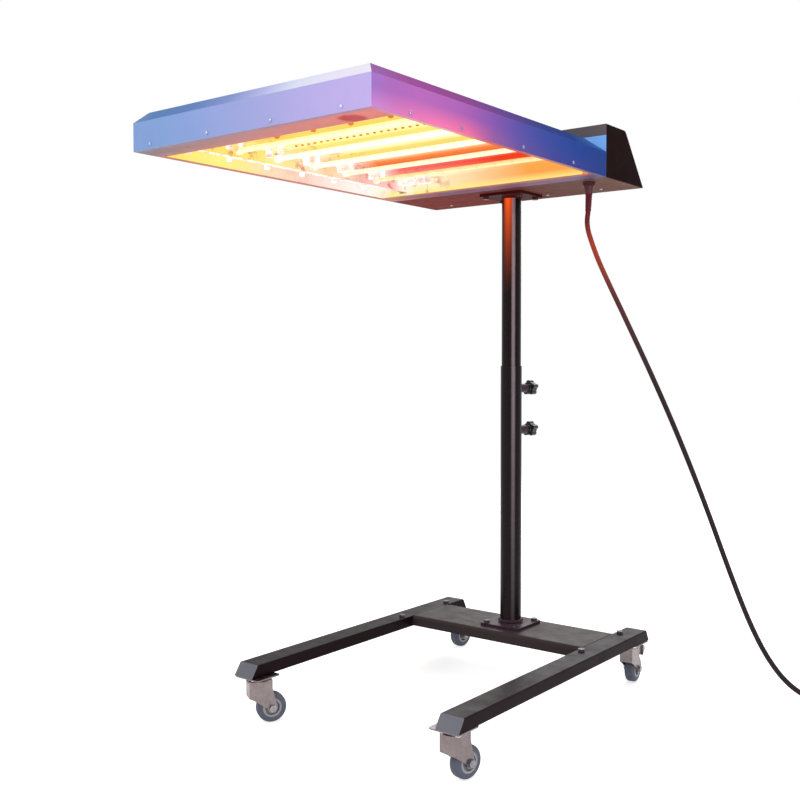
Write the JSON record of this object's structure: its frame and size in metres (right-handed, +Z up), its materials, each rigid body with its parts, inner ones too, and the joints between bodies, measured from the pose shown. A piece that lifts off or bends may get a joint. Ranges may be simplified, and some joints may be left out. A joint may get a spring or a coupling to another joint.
{
  "type": "flash dryer",
  "caption": "Screen-printing flash dryer: blue infrared heater head with black control box on a telescopic mast, over a U-shaped base on swivel casters",
  "frame": {"origin": "on the floor, midway between the foremost and rearmost points of the unit, on its left-right centre plane", "axes": "+Z up; the heater head reaches out from the mast towards -Y; +X is towards the side where the mains cord leaves the control box"},
  "size_m": [1.155, 1.0999, 1.208],
  "materials": {
    "black_paint": "semi-gloss black powder coat",
    "box_paint": "fine-textured black powder coat",
    "blue_paint": "satin blue powder coat",
    "zinc_plate": "zinc-plated pressed steel",
    "bright_steel": "bright zinc-plated steel",
    "hub_plastic": "light grey moulded plastic",
    "grey_tyre": "dark blue-grey rubber",
    "knob_plastic": "black moulded plastic",
    "nylon": "natural nylon",
    "bright_aluminium": "bright rolled aluminium",
    "fibre_board": "mineral fibre blanket",
    "quartz": "clear quartz glass",
    "glowing_wire": "glowing resistance wire",
    "white_ceramic": "unglazed white ceramic",
    "wire_sleeve": "braided glass sleeving on wire",
    "switch_plastic": "black moulded plastic",
    "rocker_red": "red gloss plastic",
    "cord_rubber": "black rubber sheath"
  },
  "bodies": {
    "base": {"left_leg": "black_paint", "right_leg": "black_paint", "crossbar": "black_paint", "base_bolts": "bright_steel", "caster_bolts": "bright_steel", "mast_flange": "black_paint", "outer_mast": "black_paint", "clamp_bosses": "bright_steel", "front_left_caster_plate": "zinc_plate", "front_right_caster_plate": "zinc_plate", "rear_left_caster_plate": "zinc_plate", "rear_right_caster_plate": "zinc_plate"},
    "front_left_caster": {"front_left_caster_fork": "zinc_plate", "front_left_wheel_axle": "bright_steel"},
    "front_left_wheel": {"front_left_wheel_hub": "hub_plastic", "front_left_wheel_tyre": "grey_tyre"},
    "front_right_caster": {"front_right_caster_fork": "zinc_plate", "front_right_wheel_axle": "bright_steel"},
    "front_right_wheel": {"front_right_wheel_hub": "hub_plastic", "front_right_wheel_tyre": "grey_tyre"},
    "rear_left_caster": {"rear_left_caster_fork": "zinc_plate", "rear_left_wheel_axle": "bright_steel"},
    "rear_left_wheel": {"rear_left_wheel_hub": "hub_plastic", "rear_left_wheel_tyre": "grey_tyre"},
    "rear_left_brake": {"rear_left_brake_pedal": "zinc_plate"},
    "rear_right_caster": {"rear_right_caster_fork": "zinc_plate", "rear_right_wheel_axle": "bright_steel"},
    "rear_right_wheel": {"rear_right_wheel_hub": "hub_plastic", "rear_right_wheel_tyre": "grey_tyre"},
    "rear_right_brake": {"rear_right_brake_pedal": "zinc_plate"},
    "upper_pad": {"upper_clamp_pad": "nylon"},
    "upper_knob": {"upper_clamp_screw": "bright_steel", "upper_clamp_knob": "knob_plastic"},
    "lower_pad": {"lower_clamp_pad": "nylon"},
    "lower_knob": {"lower_clamp_screw": "bright_steel", "lower_clamp_knob": "knob_plastic"},
    "mast_bush": {"guide_bush": "nylon"},
    "head": {"inner_mast": "black_paint", "head_plate": "black_paint", "head_plate_bolts": "bright_steel", "head_shell": "blue_paint", "bottom_frame": "blue_paint", "reflector": "bright_aluminium", "insulation_board": "fibre_board", "tube_rails": "bright_aluminium", "quartz_tubes": "quartz", "heater_elements": "glowing_wire", "tube_end_caps": "white_ceramic", "heater_wiring": "wire_sleeve", "cover_screws": "bright_steel", "control_cover": "box_paint", "control_floor": "box_paint", "switch_bezel": "switch_plastic", "terminal_block": "white_ceramic", "cord_gland": "switch_plastic", "power_cord": "cord_rubber", "cord_coil": "cord_rubber", "power_plug": "cord_rubber"},
    "dial": {"power_dial": "knob_plastic"},
    "rocker": {"power_switch": "rocker_red"}
  },
  "joints": [
    {"name": "front_left_swivel", "type": "hinge", "parent": "base", "child": "front_left_caster", "pos_m": [-0.242, -0.24107, 0.0845], "axis": [0, 0, 1], "continuous": true},
    {"name": "front_left_wheel_spin", "type": "hinge", "parent": "front_left_caster", "child": "front_left_wheel", "pos_m": [-0.2285, -0.21768, 0.03], "axis": [-0.866, 0.5, 0], "continuous": true},
    {"name": "front_right_swivel", "type": "hinge", "parent": "base", "child": "front_right_caster", "pos_m": [0.242, -0.24107, 0.0845], "axis": [0, 0, 1], "continuous": true},
    {"name": "front_right_wheel_spin", "type": "hinge", "parent": "front_right_caster", "child": "front_right_wheel", "pos_m": [0.24761, -0.21466, 0.03], "axis": [-0.9781, 0.2079, 0], "continuous": true},
    {"name": "rear_left_swivel", "type": "hinge", "parent": "base", "child": "rear_left_caster", "pos_m": [-0.242, 0.43193, 0.0845], "axis": [0, 0, 1], "continuous": true},
    {"name": "rear_left_wheel_spin", "type": "hinge", "parent": "rear_left_caster", "child": "rear_left_wheel", "pos_m": [-0.23918, 0.45878, 0.03], "axis": [-0.9945, 0.1045, 0], "continuous": true},
    {"name": "rear_left_brake_press", "type": "hinge", "parent": "rear_left_caster", "child": "rear_left_brake", "pos_m": [-0.23991, 0.45182, 0.075], "axis": [-0.9945, 0.1045, 0], "range_deg": [0, 8]},
    {"name": "rear_right_swivel", "type": "hinge", "parent": "base", "child": "rear_right_caster", "pos_m": [0.242, 0.43193, 0.0845], "axis": [0, 0, 1], "continuous": true},
    {"name": "rear_right_wheel_spin", "type": "hinge", "parent": "rear_right_caster", "child": "rear_right_wheel", "pos_m": [0.23871, 0.45873, 0.03], "axis": [-0.9925, -0.1219, 0], "continuous": true},
    {"name": "rear_right_brake_press", "type": "hinge", "parent": "rear_right_caster", "child": "rear_right_brake", "pos_m": [0.23956, 0.45178, 0.075], "axis": [-0.9925, -0.1219, 0], "range_deg": [0, 8]},
    {"name": "upper_clamp_travel", "type": "slide", "parent": "base", "child": "upper_pad", "axis": [0, 1, 0], "range_m": [0, 0.0015]},
    {"name": "upper_clamp_turn", "type": "hinge", "parent": "upper_pad", "child": "upper_knob", "pos_m": [0, 0.38293, 0.662], "axis": [0, 1, 0], "range_deg": [0, 370]},
    {"name": "lower_clamp_travel", "type": "slide", "parent": "base", "child": "lower_pad", "axis": [0, 1, 0], "range_m": [0, 0.0015]},
    {"name": "lower_clamp_turn", "type": "hinge", "parent": "lower_pad", "child": "lower_knob", "pos_m": [0, 0.38293, 0.566], "axis": [0, 1, 0], "range_deg": [0, 370]},
    {"name": "mast_height", "type": "slide", "parent": "base", "child": "mast_bush", "axis": [0, 0, 1], "range_m": [-0.35, 0]},
    {"name": "head_swivel", "type": "hinge", "parent": "mast_bush", "child": "head", "pos_m": [0, 0.31893, 0.545], "axis": [0, 0, 1], "range_deg": [-45, 90]},
    {"name": "dial_turn", "type": "hinge", "parent": "head", "child": "dial", "pos_m": [-0.09, 0.37071, 1.148], "axis": [0, -0.7823, -0.6229], "range_deg": [-135, 135]},
    {"name": "switch_rock", "type": "hinge", "parent": "head", "child": "rocker", "pos_m": [0.09, 0.36993, 1.14738], "axis": [-1, 0, 0], "range_deg": [-18, 0]}
  ],
  "couplings": [
    {"joint": "upper_clamp_turn", "follows": "upper_clamp_travel", "rad_per_m": 4188.8},
    {"joint": "lower_clamp_turn", "follows": "lower_clamp_travel", "rad_per_m": 4188.8}
  ]
}
